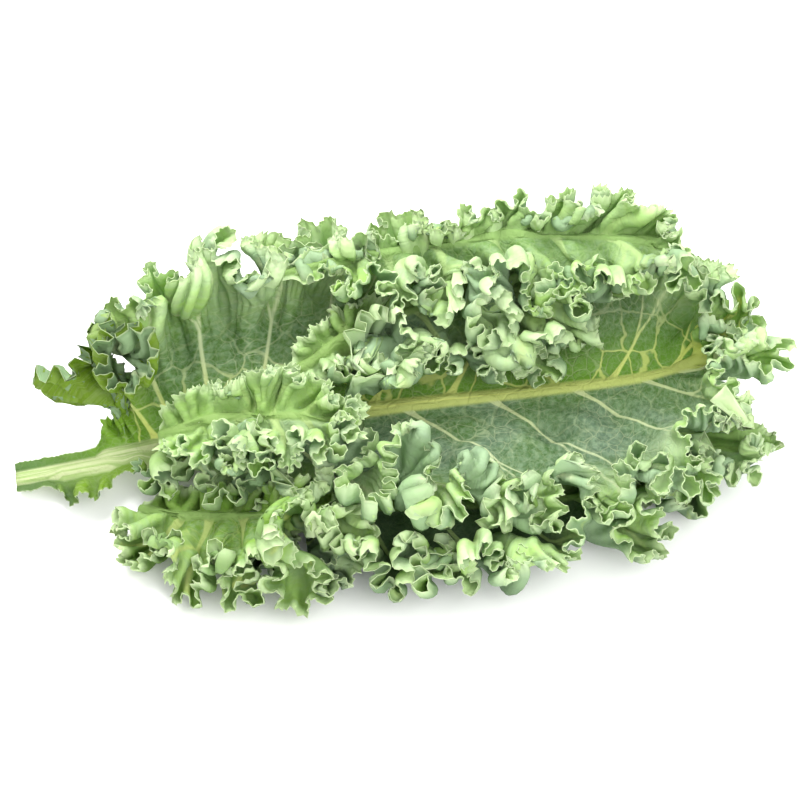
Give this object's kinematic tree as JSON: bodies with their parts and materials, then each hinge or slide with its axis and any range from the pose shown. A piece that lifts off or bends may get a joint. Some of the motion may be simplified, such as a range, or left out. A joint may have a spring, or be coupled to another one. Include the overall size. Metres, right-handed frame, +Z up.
{
  "type": "kale bunch",
  "caption": "Loose bunch of curly kale lying on its side: cut stalk at one end, raised midribs, broad blades and densely frilled margins.",
  "frame": {"origin": "middle of the bunch's bounding box on the surface it lies on", "axes": "+X from the long cut stalk to the leaf tips, -Y the near side where the blades open, +Z up"},
  "size_m": [0.3688, 0.199, 0.1045],
  "materials": {
    "main_leaf_green": "satin leaf, pale at the frilled edge and along the veins",
    "back_leaf_green": "satin leaf, pale at the frilled edge and along the veins",
    "crest_leaf_green": "satin leaf, pale at the frilled edge and along the veins",
    "front_leaf_green": "satin leaf, pale at the frilled edge and along the veins",
    "right_leaf_green": "satin leaf, pale at the frilled edge and along the veins",
    "far_leaf_green": "satin leaf, pale at the frilled edge and along the veins",
    "lower_left_leaf_green": "satin leaf, pale at the frilled edge and along the veins",
    "inner_leaf_green": "satin leaf, pale at the frilled edge and along the veins"
  },
  "bodies": {
    "root": {"main_leaf": "main_leaf_green", "back_leaf": "back_leaf_green", "crest_leaf": "crest_leaf_green", "front_leaf": "front_leaf_green", "right_leaf": "right_leaf_green", "far_leaf": "far_leaf_green", "lower_left_leaf": "lower_left_leaf_green", "inner_leaf": "inner_leaf_green"}
  },
  "joints": []
}
